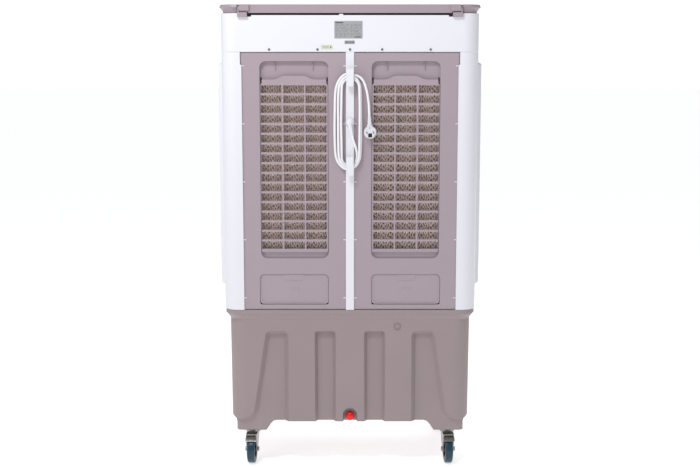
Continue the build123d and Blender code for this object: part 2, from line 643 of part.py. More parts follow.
def make_ice_basin():
    """Open basin under the lid for ice and top-up water, hung by its flange."""
    (low_x, high_x), (low_y, high_y) = BASIN
    outer = block((low_x, high_x), (low_y, high_y), (1305, HOUSING_DECK + 1))
    flange = block((low_x - 9, high_x + 9), (low_y + 1, high_y + 9), (HOUSING_DECK, HOUSING_DECK + 2.5))
    inner_x, inner_y = (low_x + SKIN, high_x - SKIN), (low_y + SKIN, high_y - SKIN)
    inner = block(inner_x, inner_y, (1305 + SKIN, HOUSING_DECK + 5))
    drains = [Pos(side * 270, y, 1306) * Cylinder(5, 10) for side in (-1, 1) for y in (-190, 110)]
    return outer + flange - inner - drains


def make_top_frame():
    """Flared taupe rim round the lid, open at the rear between the hinge blocks."""
    foot = prism(750, 462, 37, (HOUSING_DECK, HOUSING_TOP))
    cove = loft([Pos(0, 0, z) * RectangleRounded(width, width - 288, radius)
                 for z, width, radius in ((HOUSING_TOP, 754, 39), (1403, 760, 42), (1412, 778, 51))])
    nose = flare((778, 490, 51, 1412), (771, 483, 47.5, HEIGHT))
    frame = foot + cove + nose
    frame -= prism(742, 454, 33, (HOUSING_DECK - 1, HEIGHT - 3.5))
    (low_x, high_x) = (-LID_HALF - 1.5, LID_HALF + 1.5)
    frame -= block((low_x, high_x), (REAR - 20, LID_FRONT + 1.5), (HOUSING_DECK - 1, HEIGHT + 1))
    for side in (-1, 1):
        notch_x = sorted((side * (HINGE_BLOCK[1] + 1.5), side * (LID_HALF - 5)))
        frame -= block(notch_x, (REAR - 20, REAR + 20), (HOUSING_DECK - 1, HEIGHT + 1))
    return frame


def make_top_lid():
    """Lid with a downturned edge, a sunk top field and a hinge block at each rear corner."""
    y, z = HINGE_Y, HINGE_Z
    lid = block((-LID_HALF, LID_HALF), (LID_REAR, LID_FRONT), (HEIGHT - 8, HEIGHT))
    under_x, under_y = (-LID_HALF + SKIN, LID_HALF - SKIN), (LID_REAR + SKIN, LID_FRONT - SKIN)
    lid -= block(under_x, under_y, (HEIGHT - 9, HEIGHT - 4))
    lid += block((-LID_HALF, LID_HALF), (LID_REAR, LID_REAR + SKIN), (HOUSING_TOP, HEIGHT - 1))
    sunk = extrude(Pos(0, -46, HEIGHT - 1.5) * RectangleRounded(520, 300, 30), 3)
    lid -= sunk
    grip = extrude(Pos(0, LID_FRONT, HEIGHT - 9) * RectangleRounded(150, 24, 11), 20)
    lid -= grip
    profile = rectangle((y - 9.5, y + 16.5), (z - 9.5, HEIGHT))
    corner = profile.vertices().sort_by(Axis.Y)[:2].sort_by(Axis.X)[0]
    profile = fillet(corner, 9.4)
    for side in (-1, 1):
        lid += sideways(profile, sorted((side * (LID_HALF - SKIN), side * (EAR[0] - 0.4))))
        lid -= rod_x(y, z, 3, sorted((side * (LID_HALF + 1), side * (HINGE_BLOCK[1] + 1))))
    return lid


def make_hinge_bracket():
    """Fixed half of the +X lid hinge: a block on the housing's rear wall, with an ear at its outer end."""
    y, z = HINGE_Y, HINGE_Z
    base = block(HINGE_BLOCK, (y - 9.5, REAR), (1383.5, z - 10.4))
    ear = sideways(disc(y, z, 7.4) + rectangle((y - 7.4, y - 0.2), (z - 12, z)), EAR)
    return base + ear - rod_x(y, z, 3 + RUNNING, (EAR[0] - 1, EAR[1] + 1))


def make_hinge_pin():
    return rod_x(HINGE_Y, HINGE_Z, 3, (LID_HALF + 1, HINGE_BLOCK[1] - 0.5))


def make_control_panel():
    panel = upright(rectangle((-190, 190), (KNOB_Z - 38, KNOB_Z + 38), 20), (FRONT, FRONT + 6))
    for index in (-1, 0, 1):
        panel -= rod_y(index * KNOB_STEP, KNOB_Z, 4 + RUNNING, (FRONT + 1, FRONT + 7))
        panel += upright(disc(index * KNOB_STEP, KNOB_Z, 27) - disc(index * KNOB_STEP, KNOB_Z, 25.5),
                         (FRONT + 5, FRONT + 6.6))
    return panel


def make_knob(x):
    """Rotary control with a grip bar across its face."""
    skirt = rod_y(x, KNOB_Z, 22, (FRONT + 6.3, FRONT + 12))
    skirt = fillet(skirt.edges().group_by(Axis.Y)[-1], 2)
    grip = upright(rectangle((x - 5, x + 5), (KNOB_Z - 20, KNOB_Z + 20), 4.5), (FRONT + 11, FRONT + 23.5))
    stem = rod_y(x, KNOB_Z, 4, (FRONT + 1.5, FRONT + 8))
    return skirt + grip + stem


# ---------------------------------------------------------------- water circuit and pads
def make_pads():
    """Two rear pads and two side pads."""
    rear_face = PANEL_FACE + RECESS_DEPTH + SKIN + 5
    rear = block((28, 312), (rear_face, rear_face + 50), (640, DISTRIBUTOR[0] - 2))
    side = block((334, 378), (-132, 132), (600, DISTRIBUTOR[0] - 2))
    return [rear, other_side(rear), side, other_side(side)]


def make_distributor():
    """U-shaped channel over the pads, with drip holes in its floor."""
    def plan(wall, z):
        outer = prism(740 - 2 * wall, 440 - 2 * wall, 38 - wall, z)
        outer -= block((-400, 400), (136 - wall, 240), z)
        return outer - block((-304 - wall, 304 + wall), (-152 - wall, 200), z)
    channel = plan(0, DISTRIBUTOR) - plan(SKIN, (DISTRIBUTOR[0] + SKIN, DISTRIBUTOR[1] + 1))
    holes = [Pos(x, -190, DISTRIBUTOR[0]) * Cylinder(2.5, 10) for x in range(-280, 281, 80)]
    for side in (-1, 1):
        holes += [Pos(side * 350, y, DISTRIBUTOR[0]) * Cylinder(2.5, 10) for y in range(-100, 101, 50)]
    return channel - holes


def make_pump():
    body = Pos(*RISER, 0) * rod(30, (TANK_BASE + TANK_WALL, 215))
    body = fillet(body.edges().group_by(Axis.Z)[-1], 6)
    spout = Pos(*RISER, 0) * rod(6, (214, 240))
    slots = [Pos(*RISER, 160) * Rot(0, 0, 30 * index) * Box(70, 4, 10) for index in range(6)]
    core = Pos(*RISER, 0) * rod(27, (150, 170))
    return body + spout - [slot - core for slot in slots]


def make_riser_hose():
    return Pos(*RISER, 0) * (rod(8, (217, DISTRIBUTOR[0])) - rod(6, (216, DISTRIBUTOR[0] + 1)))


# ---------------------------------------------------------------- mains lead and trim
def make_hook(heights):
    """Hook on the centre post: a stem and a tongue that runs from the stem towards its tip."""
    root, stem_end, tip = heights
    stem = block((-7.5, 7.5), (REAR - HOOK_REACH + 2, REAR), sorted((root, stem_end)))
    reach = REAR - HOOK_REACH
    tongue = block((-HOOK_HALF_WIDTH, HOOK_HALF_WIDTH), (reach, reach + 4.5), sorted((root, tip)))
    tongue = fillet(tongue.edges().filter_by(Axis.Y), 2.5)
    return stem + tongue


def make_gland():
    """Domed cover on the centre post, with a tapered relief that leans the way the lead runs."""
    length = 36
    dome = Pos(0, REAR, GLAND_HEIGHT) * Sphere(14)
    dome &= block((-15, 15), (REAR - 15, REAR), (GLAND_HEIGHT - 15, GLAND_HEIGHT + 15))
    relief = Pos(0, 0, length / 2) * Cone(4.4, 7, length)
    return dome + Pos(GLAND_EXIT[0], CORD_PLANE, GLAND_EXIT[1]) * Rot(0, -GLAND_LEAN, 0) * relief


def route_radii(points):
    """Largest arc that each inner point's two runs allow."""
    vectors = [Vector(*point) for point in points]
    radii = []
    for before, here, after in zip(vectors, vectors[1:], vectors[2:]):
        turn = math.radians((here - before).get_angle(after - here))
        run = min((here - before).length, (after - here).length)
        radii.append(0.45 * run / math.tan(turn / 2))
    return radii


def make_tube(points):
    radii = route_radii(points)
    path = FilletPolyline(*points, radius=radii)
    start = Plane(path @ 0, z_dir=path % 0)
    tube = sweep(start * Circle(CORD / 2), path=path)
    expected = math.pi * (CORD / 2) ** 2 * path.length
    print("cord run", round(path.length, 1), "mm, radii", [round(radius) for radius in radii],
          "volume ratio", round(tube.volume / expected, 4))
    return tube


def make_hank():
    """Outer shape of the lead's turns round the two hooks."""
    outer = Pos(-5.5, 1077) * SlotOverall(290, 91, rotation=90)
    inner = Pos(2.5, 1079.5) * SlotOverall(242, 41, rotation=90)
    return upright(outer - inner, (CORD_PLANE - 7.8, CORD_PLANE + 7.8))


def place_plug(shape):
    """Roll a plug piece drawn round the Y axis and move it to the plug's place."""
    return Pos(PLUG_CENTRE[0], 0, PLUG_CENTRE[1]) * Rot(0, -PLUG_ROLL, 0) * shape


def make_plug():
    """Angled mains plug with its face to the rear, a square earth socket and a ribbed boot above."""
    body = rod_y(0, 0, PLUG_RADIUS, (PLUG_FACE, -237.5))
    body = fillet(body.edges().group_by(Axis.Y)[-1], 5)
    groove = disc(0, 0, PLUG_RADIUS - 2) - disc(0, 0, PLUG_RADIUS - 2.8)
    body -= upright(groove, (PLUG_FACE - 1, PLUG_FACE + 0.6))
    body -= upright(rectangle((-5.8, 5.8), (-14.5, -2.9), 1.5), (PLUG_FACE - 1, PLUG_FACE + 15))
    boot = Pos(0, PLUG_CORD_Y, 17) * Cylinder(8.6, 10) + Pos(0, PLUG_CORD_Y, 33) * Cone(6.6, 4.5, 26)
    ribs = [Pos(0, PLUG_CORD_Y, rise) * Cylinder(7.2 - 0.04 * rise, 2.8) for rise in (25, 31, 37, 43)]
    return place_plug(body + boot + ribs)


def make_plug_pins():
    span = (PLUG_FACE - PIN_LENGTH, PLUG_FACE)
    return [place_plug(rod_y(side * PIN_SPACING / 2, 0, PIN_RADIUS, span)) for side in (-1, 1)]


def make_clips():
    clips = []
    for z in CLIP_HEIGHTS:
        for low, high in ((13.2, 20), (314.5, 321)):
            clip = block((low, high), (PANEL_FACE - 1.4, PANEL_FACE), (z - 1.4, z + 1.4))
            clips += [clip, other_side(clip)]
    return clips


def make_screws():
    screws = []
    for x in SCREWS_X:
        head = rod_y(x, SCREWS_Z, 3.6, (REAR - 2.2, REAR))
        head = fillet(head.edges().group_by(Axis.Y)[0], 1.2)
        head -= block((x - 2.6, x + 2.6), (REAR - 3, REAR - 1.2), (SCREWS_Z - 0.6, SCREWS_Z + 0.6))
        screws.append(head)
    return screws


def make_labels():
    """Rating plate, bar sticker and notice sticker on the upper housing."""
    spans = (((-46, 37), (1321, 1372)), ((-16, 14), (1305, 1315)), ((-85, -52), (1290, 1302)))
    return [upright(rectangle(x, z, 1.5), (REAR - 0.5, REAR)) for x, z in spans]


# ---------------------------------------------------------------- assembly
def place_caster(shape, side, end):
    """Turn a caster piece to its rest yaw and move it under a corner; end is -1 rear or 1 front."""
    yaw = side * REST_YAW if end < 0 else 180 - side * REST_YAW
    return Pos(side * SWIVEL[0], end * SWIVEL[1], 0) * Rot(0, 0, yaw) * shape


def build():
    nodes = {
        "tank": make_tank(), "tank_deck": make_tank_deck(), "level_window": make_level_window(),
        "drain_plug": make_drain_plug(), "centre_post": make_centre_post(),
        "front_panel": make_front_panel(), "outlet_grille": make_outlet_grille(),
        "fan_shroud": make_fan_shroud(), "fan": group(make_fan()),
        "motor": make_motor(), "motor_bracket": make_motor_bracket(),
        "upper_housing": make_upper_housing(), "ice_basin": make_ice_basin(), "top_frame": make_top_frame(),
        "top_lid": make_top_lid(), "control_panel": make_control_panel(),
        "water_distributor": make_distributor(), "pump": make_pump(), "riser_hose": make_riser_hose(),
        "cooling_pads": group(make_pads()), "lid_seal": make_lid_seal(), "cord_hank": make_hank(),
        "plug": make_plug(), "plug_pins": group(make_plug_pins()), "panel_clips": group(make_clips()),
        "housing_screws": group(make_screws()), "labels": group(make_labels()),
    }
    nodes["cord_fittings"] = group([make_hook(UPPER_HOOK), make_hook(LOWER_HOOK), make_gland()])
    nodes["power_cord"] = group([make_tube(LEAD_ROUTE), make_tube(TAIL_ROUTE)])
    handed = {
        "rear_post": make_rear_post(), "rear_panel": make_rear_panel(), "rear_grille": make_rear_grille(),
        "fill_flap": make_fill_flap(), "side_panel": make_side_panel(),
    }
    for name, shape in handed.items():
        nodes[name + "_right"] = shape
        nodes[name + "_left"] = other_side(shape)
    bracket, pin = make_hinge_bracket(), make_hinge_pin()
    nodes["lid_hinge_brackets"] = group([bracket, other_side(bracket)])
    nodes["lid_hinge_pins"] = group([pin, other_side(pin)])
    plates = []
    for end, place in ((-1, "rear"), (1, "front")):
        for side, hand in ((-1, "left"), (1, "right")):
            plates.append(Pos(side * SWIVEL[0], end * SWIVEL[1], 0) * make_caster_plate())
            fork = make_fork(-47 if end < 0 else -35)
            corner = f"{place}_{hand}"
            for name, pieces in (("fork_", (fork, make_axle())), ("wheel_", make_wheel())):
                nodes[name + corner] = group(place_caster(piece, side, end) for piece in pieces)
            if end > 0:
                nodes["brake_pedal_" + hand] = place_caster(make_pedal(), side, end)
    nodes["caster_plates"] = group(plates)
    for index, x in enumerate(vane_positions(), 1):
        nodes[f"vane_{index}"] = make_vane(x)
    for index in (-1, 0, 1):
        nodes[f"knob_{index + 2}"] = make_knob(index * KNOB_STEP)
    return nodes


os.makedirs("parts", exist_ok=True)
for node_name, node_shape in build().items():
    export_step(node_shape, f"parts/{node_name}.step")
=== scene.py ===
import math
import random

import bpy
from mathutils import Matrix, Vector


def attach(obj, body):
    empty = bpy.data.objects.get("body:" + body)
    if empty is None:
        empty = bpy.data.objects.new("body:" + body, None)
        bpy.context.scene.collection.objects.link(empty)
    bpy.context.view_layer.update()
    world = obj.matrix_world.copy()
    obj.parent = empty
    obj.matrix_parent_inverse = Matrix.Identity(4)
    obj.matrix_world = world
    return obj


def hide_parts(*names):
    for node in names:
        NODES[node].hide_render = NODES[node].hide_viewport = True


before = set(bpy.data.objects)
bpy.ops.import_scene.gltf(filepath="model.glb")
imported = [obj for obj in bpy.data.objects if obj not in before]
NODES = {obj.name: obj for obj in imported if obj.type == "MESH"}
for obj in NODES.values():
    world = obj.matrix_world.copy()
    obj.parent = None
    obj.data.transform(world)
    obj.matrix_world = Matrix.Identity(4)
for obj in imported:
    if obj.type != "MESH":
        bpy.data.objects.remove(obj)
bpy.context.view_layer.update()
scene = bpy.context.scene
SIDES = ("left", "right")
CORNERS = [f"{end}_{side}" for end in ("rear", "front") for side in SIDES]

# where things lie in the frame, in metres
REAR_FACE = -0.24
PAD_REAR_FACE = -0.214
PAD_SIDE_FACE = 0.378
SWIVEL = (0.307, 0.152)
WHEEL_TRAIL = 0.027
WHEEL_RADIUS = 0.044
CASTER_YAW = 3                   # degrees
KNOB_STEP = 0.105
KNOB_Z = 1.338
PLUG_CENTRE = (0.0595, 0, 1.046)
PLUG_ROLL = 2.5                  # degrees


# ---------------------------------------------------------------- camera, lights and floor
def add_camera():
    data = bpy.data.cameras.new("camera")
    data.sensor_width = 36
    data.lens = 62
    data.clip_end = 60
    camera = bpy.data.objects.new("camera", data)
    camera.location = (0.0, -3.84, 1.285)
    camera.rotation_euler = (math.radians(90 - 8.615), 0, 0)
    scene.collection.objects.link(camera)
    scene.camera = camera


def add_area(name, location, target, size, power, color=(1, 1, 1)):
    data = bpy.data.lights.new(name, "AREA")
    data.shape = "RECTANGLE"
    data.size, data.size_y = size
    data.energy = power
    data.color = color
    light = bpy.data.objects.new(name, data)
    light.location = location
    light.rotation_euler = (Vector(target) - Vector(location)).to_track_quat("-Z", "Y").to_euler()
    scene.collection.objects.link(light)


def add_lights():
    """White surround, seen at full white by the camera and a little dimmer by everything else."""
    world = bpy.data.worlds.new("studio")
    world.use_nodes = True
    tree = world.node_tree
    dim = tree.nodes["Background"]
    dim.inputs["Strength"].default_value = 0.42
    white = tree.nodes.new("ShaderNodeBackground")
    white.inputs["Strength"].default_value = 1.12
    for background in (dim, white):
        background.inputs["Color"].default_value = (0.97, 0.98, 1, 1)
    path = tree.nodes.new("ShaderNodeLightPath")
    mix = tree.nodes.new("ShaderNodeMixShader")
    tree.links.new(path.outputs["Is Camera Ray"], mix.inputs["Fac"])
    tree.links.new(dim.outputs["Background"], mix.inputs[1])
    tree.links.new(white.outputs["Background"], mix.inputs[2])
    tree.links.new(mix.outputs["Shader"], tree.nodes["World Output"].inputs["Surface"])
    scene.world = world
    add_area("top", (-0.75, -1.75, 2.75), (0, -0.2, 1.2), (0.6, 0.5), 26)
    add_area("side", (-2.4, -2.2, 1.9), (0, -0.2, 1.05), (1.0, 1.4), 8)
    add_area("front", (0.6, 2.6, 2.4), (0, 0.2, 0.9), (1.8, 1.2), 26)
    scene.view_settings.view_transform = "Standard"


def add_floor(material):
    segments = 96
    vertices = [(0, 0, 0)]
    for step in range(segments):
        angle = 2 * math.pi * step / segments
        vertices.append((40 * math.cos(angle), 40 * math.sin(angle), 0))
    faces = [(0, 1 + step, 1 + (step + 1) % segments) for step in range(segments)]
    mesh = bpy.data.meshes.new("floor")
    mesh.from_pydata(vertices, [], faces)
    floor = bpy.data.objects.new("floor", mesh)
    floor.data.materials.append(material)
    scene.collection.objects.link(floor)


# ---------------------------------------------------------------- materials
def srgb(red, green, blue):
    """Linear colour from 0-255 display values."""
    linear = []
    for value in (red, green, blue):
        share = value / 255
        linear.append(share / 12.92 if share <= 0.04045 else ((share + 0.055) / 1.055) ** 2.4)
    return (*linear, 1.0)


def scaled(color, factor):
    return (*[min(1.0, channel * factor) for channel in color[:3]], 1.0)


class Surface:
    """Principled material with noise-driven colour, roughness and relief, built one feature at a time."""

    def __init__(self, name, color, roughness, **constants):
        self.material = bpy.data.materials.new(name)
        self.material.use_nodes = True
        self.tree = self.material.node_tree
        self.shader = self.tree.nodes["Principled BSDF"]
        self.color_socket = None
        self.normal_socket = None
        self.shader.inputs["Base Color"].default_value = color
        self.color = color
        self.shader.inputs["Roughness"].default_value = roughness
        self.roughness = roughness
        for socket, value in constants.items():
            self.shader.inputs[socket.replace("_", " ")].default_value = value
        self.coordinates = self.node("ShaderNodeTexCoord").outputs["Object"]

    def node(self, kind, **settings):
        made = self.tree.nodes.new(kind)
        for key, value in settings.items():
            setattr(made, key, value)
        return made

    def link(self, source, target):
        self.tree.links.new(source, target)

    def stretched(self, stretch):
        mapping = self.node("ShaderNodeMapping")
        mapping.inputs["Scale"].default_value = stretch
        self.link(self.coordinates, mapping.inputs["Vector"])
        return mapping.outputs["Vector"]

    def noise(self, scale, detail=3.0, stretch=None, distortion=0.0):
        texture = self.node("ShaderNodeTexNoise")
        texture.inputs["Scale"].default_value = scale
        texture.inputs["Detail"].default_value = detail
        texture.inputs["Distortion"].default_value = distortion
        self.link(self.stretched(stretch) if stretch else self.coordinates, texture.inputs["Vector"])
        return texture.outputs["Fac"]

    def ranged(self, value, low, high, source=(0.3, 0.7)):
        mapped = self.node("ShaderNodeMapRange")
        mapped.inputs["From Min"].default_value, mapped.inputs["From Max"].default_value = source
        mapped.inputs["To Min"].default_value, mapped.inputs["To Max"].default_value = low, high
        self.link(value, mapped.inputs["Value"])
        return mapped.outputs["Result"]

    def tint(self, factor, color):
        """Mix another colour over what is there, by a factor socket."""
        mix = self.node("ShaderNodeMix", data_type="RGBA")
        if self.color_socket:
            self.link(self.color_socket, mix.inputs[6])
        else:
            mix.inputs[6].default_value = self.color
        mix.inputs[7].default_value = color
        self.link(factor, mix.inputs["Factor"])
        self.color_socket = mix.outputs[2]
        self.link(self.color_socket, self.shader.inputs["Base Color"])
        return self

    def mottle(self, scale, amount, detail=3.0, stretch=None):
        """Slow lighter and darker patches, as moulded plastic has."""
        value = self.noise(scale, detail, stretch)
        self.tint(self.ranged(value, 0.0, 1.0), scaled(self.color, 1 + amount))
        value = self.noise(scale * 2.7, detail, stretch)
        return self.tint(self.ranged(value, 0.0, 0.6), scaled(self.color, 1 - amount))

    def vary_roughness(self, scale, spread, stretch=None):
        value = self.ranged(self.noise(scale, 4.0, stretch), self.roughness - spread, self.roughness + spread)
        self.link(value, self.shader.inputs["Roughness"])
        return self

    def soften(self, radius):
        """Round off the look of hard edges."""
        bevel = self.node("ShaderNodeBevel")
        bevel.samples = 4
        bevel.inputs["Radius"].default_value = radius
        self.normal_socket = bevel.outputs["Normal"]
        self.link(self.normal_socket, self.shader.inputs["Normal"])
        return self

    def relief(self, height, distance, strength=1.0):
        bump = self.node("ShaderNodeBump")
        bump.inputs["Distance"].default_value = distance
        bump.inputs["Strength"].default_value = strength
        self.link(height, bump.inputs["Height"])
        if self.normal_socket:
            self.link(self.normal_socket, bump.inputs["Normal"])
        self.normal_socket = bump.outputs["Normal"]
        self.link(self.normal_socket, self.shader.inputs["Normal"])
        return self

    def grain(self, scale, distance, strength=0.4, stretch=None):
        return self.relief(self.noise(scale, 2.0, stretch), distance, strength)


def moulded(name, color, roughness, edge=0.0015, grain=0.00004, amount=0.03, **constants):
    surface = Surface(name, color, roughness, **constants)
    surface.mottle(3.0, amount)
    surface.vary_roughness(9.0, 0.05)
    surface.soften(edge)
    surface.grain(1400.0, grain, 0.35)
    surface.relief(surface.noise(7.0, 2.0), 0.0012, 0.25)
    return surface.material


def pad_surface(name, axis, face, depth):
    """Cellulose sheets: pale edges at the face, darkening to pink-brown deeper in along one axis; the
    pink-brown is partly the pad's own tone and partly painted shade between the sheets.
    """
    surface = Surface(name, srgb(250, 238, 228), 0.85)
    separate = surface.node("ShaderNodeSeparateXYZ")
    surface.link(surface.coordinates, separate.inputs["Vector"])
    inward = surface.node("ShaderNodeMath", operation="ABSOLUTE")
    surface.link(separate.outputs[axis], inward.inputs[0])
    # Darker pink-brown deeper in: painted shade between the sheets, over the pad's own tone
    deeper = surface.ranged(inward.outputs[0], 0.0, 1.0, (face, face - depth))
    surface.tint(deeper, srgb(222, 184, 172))
    lumps = surface.noise(330.0, 3.0)
    surface.tint(surface.ranged(lumps, 0.0, 0.5, (0.45, 0.75)), srgb(232, 184, 172))
    surface.tint(surface.ranged(surface.noise(210.0, 2.0), 0.0, 0.4, (0.5, 0.8)), srgb(176, 148, 138))
    surface.relief(surface.noise(420.0, 3.0), 0.0012, 0.8)
    return surface.material


TAUPE = srgb(168, 153, 161)
TANK_COLOR = srgb(155, 140, 142)
WHITE = srgb(231, 231, 238)


def make_materials():
    made = {
        "taupe": moulded("taupe_panels", TAUPE, 0.46, edge=0.0007, amount=0.025),
        # Top frame, lid, hinge brackets and deck get the panel taupe made 5% darker: painted shade
        "taupe_top_shaded": moulded("taupe_top_shaded", scaled(TAUPE, 0.95), 0.42, amount=0.025),
        "tank": moulded("tank_plastic", TANK_COLOR, 0.5, edge=0.004, grain=0.00008, amount=0.04),
        "white": moulded("white_plastic", WHITE, 0.34, amount=0.012),
        "white_fittings": moulded("white_fittings", WHITE, 0.36, edge=0.0008, amount=0.012),
        "dark": moulded("dark_plastic", srgb(52, 52, 56), 0.5, amount=0.06),
        "black": moulded("black_gloss", srgb(24, 24, 27), 0.22, amount=0.05),
        "motor": moulded("motor_paint", srgb(66, 70, 76), 0.42, amount=0.05, Metallic=0.3),
        "red": moulded("drain_rubber", srgb(236, 14, 8), 0.2, edge=0.001, amount=0.05),
        "hose": moulded("hose_rubber", srgb(46, 46, 50), 0.6, amount=0.05),
        # The lid seal's near-black colour stands in for the shade in the gap under the lid: painted shade
        "seal": moulded("seal_gap_shade", srgb(8, 8, 9), 0.75, edge=0.0005, amount=0.05),
        "pedal": moulded("pedal_plastic", srgb(38, 38, 42), 0.5, amount=0.05),
        "socket_shade": moulded("earth_socket_shade", srgb(14, 14, 15), 0.5, edge=0.0004, amount=0.1),
        "print": moulded("label_print", srgb(84, 84, 88), 0.5, edge=0.0001, amount=0.1),
        "notice": moulded("notice_sticker", srgb(214, 224, 190), 0.5, edge=0.0001, amount=0.05),
        "marks": moulded("dial_marks", srgb(222, 222, 222), 0.5, edge=0.0001, amount=0.03),
        "pad_rear": pad_surface("pad_rear", "Y", -PAD_REAR_FACE, 0.016),
        "pad_side": pad_surface("pad_side", "X", PAD_SIDE_FACE, 0.016),
    }
    floor = Surface("floor_paint", srgb(242, 242, 242), 0.8, Emission_Strength=0.62)
    floor.mottle(0.6, 0.004)
    floor.shader.inputs["Emission Color"].default_value = (1, 1, 1, 1)
    made["floor"] = floor.material
    zinc = Surface("caster_zinc", srgb(150, 150, 148), 0.3, Metallic=0.92)
    zinc.mottle(60.0, 0.12)
    zinc.vary_roughness(160.0, 0.08)
    zinc.soften(0.0006)
    zinc.grain(900.0, 0.00005, 0.5)
    made["zinc"] = zinc.material
    screw = Surface("screw_steel", srgb(128, 126, 126), 0.45, Metallic=0.5)
    screw.mottle(300.0, 0.2)
    screw.soften(0.0004)
    made["screw"] = screw.material
    tread = Surface("wheel_tread", srgb(14, 58, 78), 0.36)
    tread.mottle(40.0, 0.08)
    tread.vary_roughness(90.0, 0.08)
    tread.grain(700.0, 0.0001, 0.5)
    made["tread"] = tread.material
    hub = Surface("wheel_hub", srgb(96, 74, 56), 0.42)
    hub.mottle(50.0, 0.1)
    hub.soften(0.0006)
    hub.grain(900.0, 0.00006, 0.4)
    made["hub"] = hub.material
    cord = Surface("cord_pvc", srgb(240, 240, 242), 0.38)
    cord.mottle(22.0, 0.02)
    cord.vary_roughness(60.0, 0.06)
    cord.grain(500.0, 0.00006, 0.4)
    made["cord"] = cord.material
    window = Surface("level_window", srgb(196, 210, 214), 0.16, Transmission_Weight=0.5, IOR=1.49)
    window.mottle(14.0, 0.05)
    window.vary_roughness(40.0, 0.05)
    made["window"] = window.material
    foil = Surface("label_foil", srgb(168, 171, 174), 0.4, Metallic=0.3)
    foil.mottle(60.0, 0.05)
    foil.grain(1600.0, 0.00002, 0.5, (1, 1, 0.05))
    made["foil"] = foil.material
    return made


# ---------------------------------------------------------------- mesh helpers
def piece(name, vertices, faces, body, material, smooth=True):
    mesh = bpy.data.meshes.new(name)
    mesh.from_pydata([tuple(vertex) for vertex in vertices], [], faces)
    mesh.validate()
    if smooth:
        mesh.shade_smooth()
    made = bpy.data.objects.new(name, mesh)
    made.data.materials.append(material)
    scene.collection.objects.link(made)
    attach(made, body)
    return made


def paint(material, *names):
    """Give CAD nodes their finish."""
    for name in names:
        materials = NODES[name].data.materials
        materials.clear()
        materials.append(material)


# ---------------------------------------------------------------- mains lead
CORD_DIAMETER = 0.0072
LEAD_ROUTE = [
    (0.0065, -0.2495, 1.036), (0.0096, -0.2495, 1.0216), (0.0148, -0.2485, 1.0075), (0.0193, -0.247, 0.993),
    (0.0215, -0.246, 0.978), (0.02, -0.246, 0.9635),
]
TAIL_ROUTE = [
    (0.006, -0.25, 1.219), (0.0255, -0.2505, 1.213), (0.0405, -0.251, 1.1975), (0.048, -0.251, 1.176),
    (0.0528, -0.2505, 1.153), (0.0556, -0.25, 1.131), (0.0567, -0.25, 1.111), (0.0575, -0.25, 1.092),
]


def lead_turns():
    """Turns round the two hooks: each half turn is a nearly straight leg between elliptical quarters."""
    # x of the leg, the z where it begins and ends, and the y of its plane
    legs = [
        (-0.0252, 0.971, 1.178, -0.2488), (0.0280, 1.178, 0.980, -0.2530), (-0.0345, 0.982, 1.166, -0.2500),
        (0.0318, 1.168, 0.984, -0.2464), (-0.0448, 0.992, 1.152, -0.2494),
    ]
    # x, z and y of the crossing that leads into each leg; the last one leads into the tail
    crossings = [(-0.0024, 0.9462, -0.2459), (0.001, 1.2045, -0.2485), (-0.003, 0.9405, -0.2495),
                 (0.000, 1.2122, -0.2498), (-0.005, 0.9345, -0.2500), (-0.004, 1.2196, -0.2498)]
    steps = 5
    points = []

    def quarter(side, crossing, outward):
        """Quarter turn from the leg's end to the crossing, or the other way when outward is false."""
        (side_x, side_z, side_y), (cross_x, cross_z, cross_y) = side, crossing
        for step in range(steps):
            angle = (step + 0.5) / steps * math.pi / 2
            if not outward:
                angle = math.pi / 2 - angle
            x = cross_x + (side_x - cross_x) * math.cos(angle)
            z = side_z + (cross_z - side_z) * math.sin(angle)
            y = side_y + (cross_y - side_y) * math.sin(angle)
            points.append((x, y, z))

    start = (0.0205, 0.9685, -0.246)
    quarter(start, crossings[0], True)
    for index, (x, begin, end, y) in enumerate(legs):
        quarter((x, begin, y), crossings[index], False)
        for step in (1, 2, 3):
            share = step / 4
            bow = 0.0010 * math.sin(math.pi * share) * math.copysign(1, x)
            bow += 0.0005 * math.sin(5.1 * index + 9 * share)
            points.append((x + bow, y, begin + (end - begin) * share))
        quarter((x, end, y), crossings[index + 1], True)
    return points


def add_cord(material):
    """One spline from the gland to the plug: the hand-laid run, the turns and the tail."""
    points = LEAD_ROUTE[:-1] + lead_turns() + TAIL_ROUTE[1:]
    data = bpy.data.curves.new("mains_lead", "CURVE")
    data.dimensions = "3D"
    data.bevel_depth = CORD_DIAMETER / 2
    data.bevel_resolution = 5
    data.resolution_u = 6
    data.use_fill_caps = True
    spline = data.splines.new("NURBS")
    spline.points.add(len(points) - 1)
    for target, point in zip(spline.points, points):
        target.co = (*point, 1)
    spline.order_u = 3
    spline.use_endpoint_u = True
    cord = bpy.data.objects.new("mains_lead", data)
    cord.data.materials.append(material)
    scene.collection.objects.link(cord)
    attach(cord, "cabinet")
    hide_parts("power_cord", "cord_hank")
    return cord


